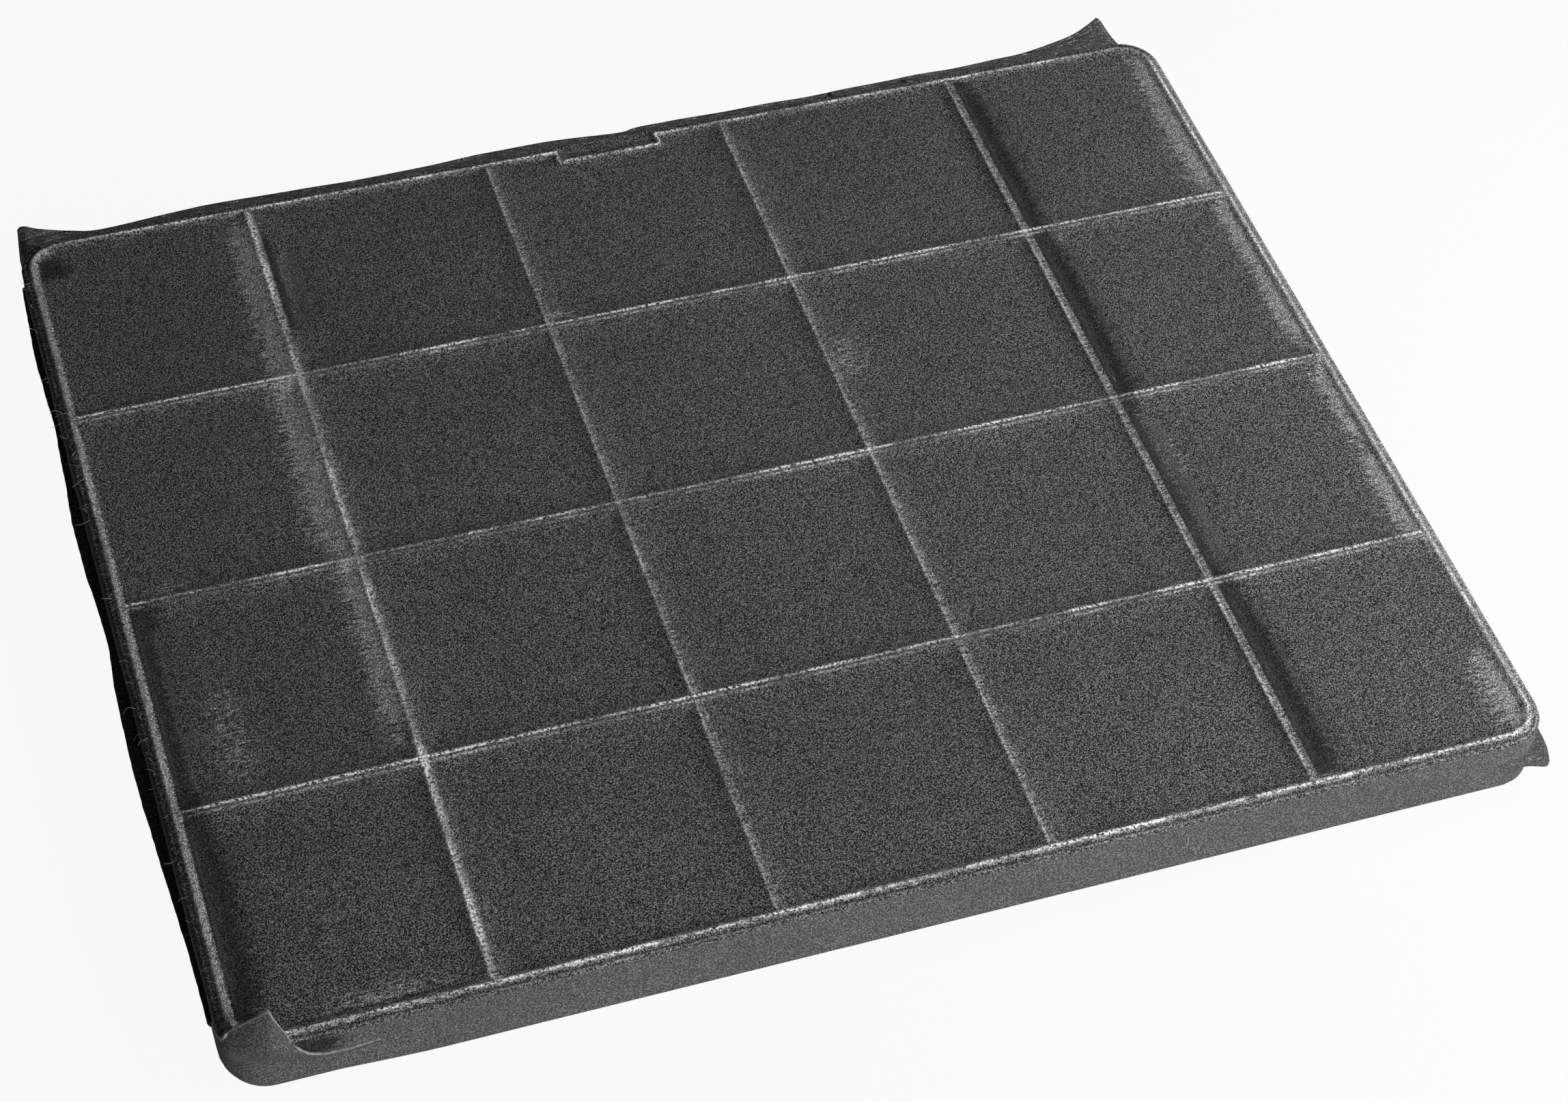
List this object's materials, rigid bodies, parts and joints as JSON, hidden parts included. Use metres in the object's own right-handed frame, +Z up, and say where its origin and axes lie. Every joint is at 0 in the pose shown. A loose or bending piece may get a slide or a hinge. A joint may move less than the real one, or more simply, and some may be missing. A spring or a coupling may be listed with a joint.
{
  "type": "cooker hood carbon filter",
  "caption": "Flat rectangular carbon filter for a cooker hood: a gridded cassette with a filling of carbon in each cell, inside a tight black knit sleeve with a welded seam and corner ears.",
  "frame": {"origin": "middle of the underside of the cover, on the face that it rests on", "axes": "+X along the length to the right, +Y to the back edge with the notch, +Z up out of the ridged top face"},
  "size_m": [0.2949, 0.2496, 0.0202],
  "materials": {
    "tray": "matt moulded",
    "lid": "matt moulded",
    "cover": "fine black knit, abraded pale on the ribs",
    "carbon": "loose granules"
  },
  "bodies": {
    "root": {"tray": "tray", "lid": "lid", "cover": "cover", "charge_r1_c1": "carbon", "charge_r1_c2": "carbon", "charge_r1_c3": "carbon", "charge_r1_c4": "carbon", "charge_r1_c5": "carbon", "charge_r2_c1": "carbon", "charge_r2_c2": "carbon", "charge_r2_c3": "carbon", "charge_r2_c4": "carbon", "charge_r2_c5": "carbon", "charge_r3_c1": "carbon", "charge_r3_c2": "carbon", "charge_r3_c3": "carbon", "charge_r3_c4": "carbon", "charge_r3_c5": "carbon", "charge_r4_c1": "carbon", "charge_r4_c2": "carbon", "charge_r4_c3": "carbon", "charge_r4_c4": "carbon", "charge_r4_c5": "carbon"}
  },
  "joints": []
}
